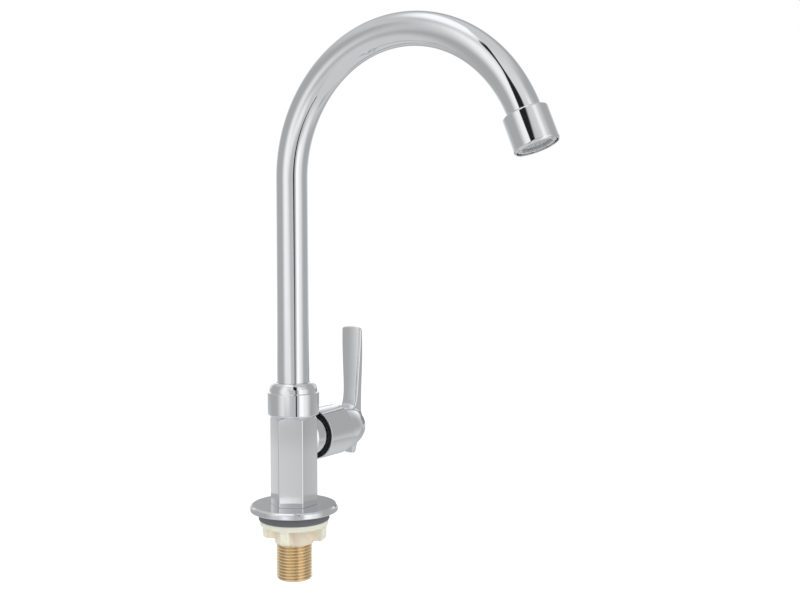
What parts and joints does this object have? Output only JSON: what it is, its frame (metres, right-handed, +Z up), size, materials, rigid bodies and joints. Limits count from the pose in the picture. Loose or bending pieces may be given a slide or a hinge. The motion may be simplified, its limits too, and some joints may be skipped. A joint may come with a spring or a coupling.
{
  "type": "gooseneck bar faucet",
  "caption": "Deck-mounted gooseneck faucet: hexagonal body on a round flange, side lever, swivelling bent spout with aerator, threaded shank and winged lock nut.",
  "frame": {"origin": "on the deck plane, under the base gasket, on the axis of the threaded shank", "axes": "+Z up along the shank and the spout's riser, -Y towards the outlet, +X along the handle's axis away from the body"},
  "size_m": [0.086, 0.1937, 0.3201],
  "materials": {
    "chrome_plate": "polished",
    "brass_thread": "machined",
    "turned_brass": "machined",
    "grey_rubber": "matt",
    "sealing_rubber": "matt",
    "white_nylon": "matt",
    "black_nylon": "satin",
    "white_ceramic": "ground",
    "bare_steel": "plain",
    "grey_plastic": "satin",
    "ivory_plastic": "satin"
  },
  "bodies": {
    "faucet": {"threaded_shank": "brass_thread", "base_gasket": "grey_rubber", "base_flange": "chrome_plate", "shank_seal": "sealing_rubber", "faucet_body": "chrome_plate", "collar_nut": "chrome_plate", "lower_glide_ring": "white_nylon", "upper_glide_ring": "white_nylon", "cartridge_housing": "turned_brass", "housing_o_ring": "sealing_rubber", "fixed_disc": "white_ceramic", "inlet_seal": "sealing_rubber", "dust_ring": "black_nylon"},
    "handle": {"moving_disc": "white_ceramic", "spindle": "turned_brass", "spindle_o_rings": "sealing_rubber", "spindle_clip": "bare_steel", "handle_hub": "chrome_plate", "lever": "chrome_plate", "handle_screw": "bare_steel", "handle_button": "chrome_plate"},
    "spout": {"swivel_sleeve": "turned_brass", "sleeve_o_rings": "sealing_rubber", "spout_tube": "chrome_plate", "outlet_collar": "chrome_plate", "aerator_washer": "sealing_rubber", "aerator_housing": "grey_plastic", "flow_former": "grey_plastic", "aerator_screen": "bare_steel"},
    "nut": {"lock_nut": "ivory_plastic"}
  },
  "joints": [
    {"name": "spout_swivel", "type": "hinge", "parent": "faucet", "child": "spout", "pos_m": [0, 0, 0.07], "axis": [0, 0, 1], "continuous": true},
    {"name": "handle_turn", "type": "hinge", "parent": "faucet", "child": "handle", "pos_m": [0, 0, 0.047], "axis": [1, 0, 0], "range_deg": [0, 90]},
    {"name": "lock_nut_travel", "type": "slide", "parent": "faucet", "child": "nut", "axis": [0, 0, 1], "range_m": [-0.036, 0]}
  ]
}
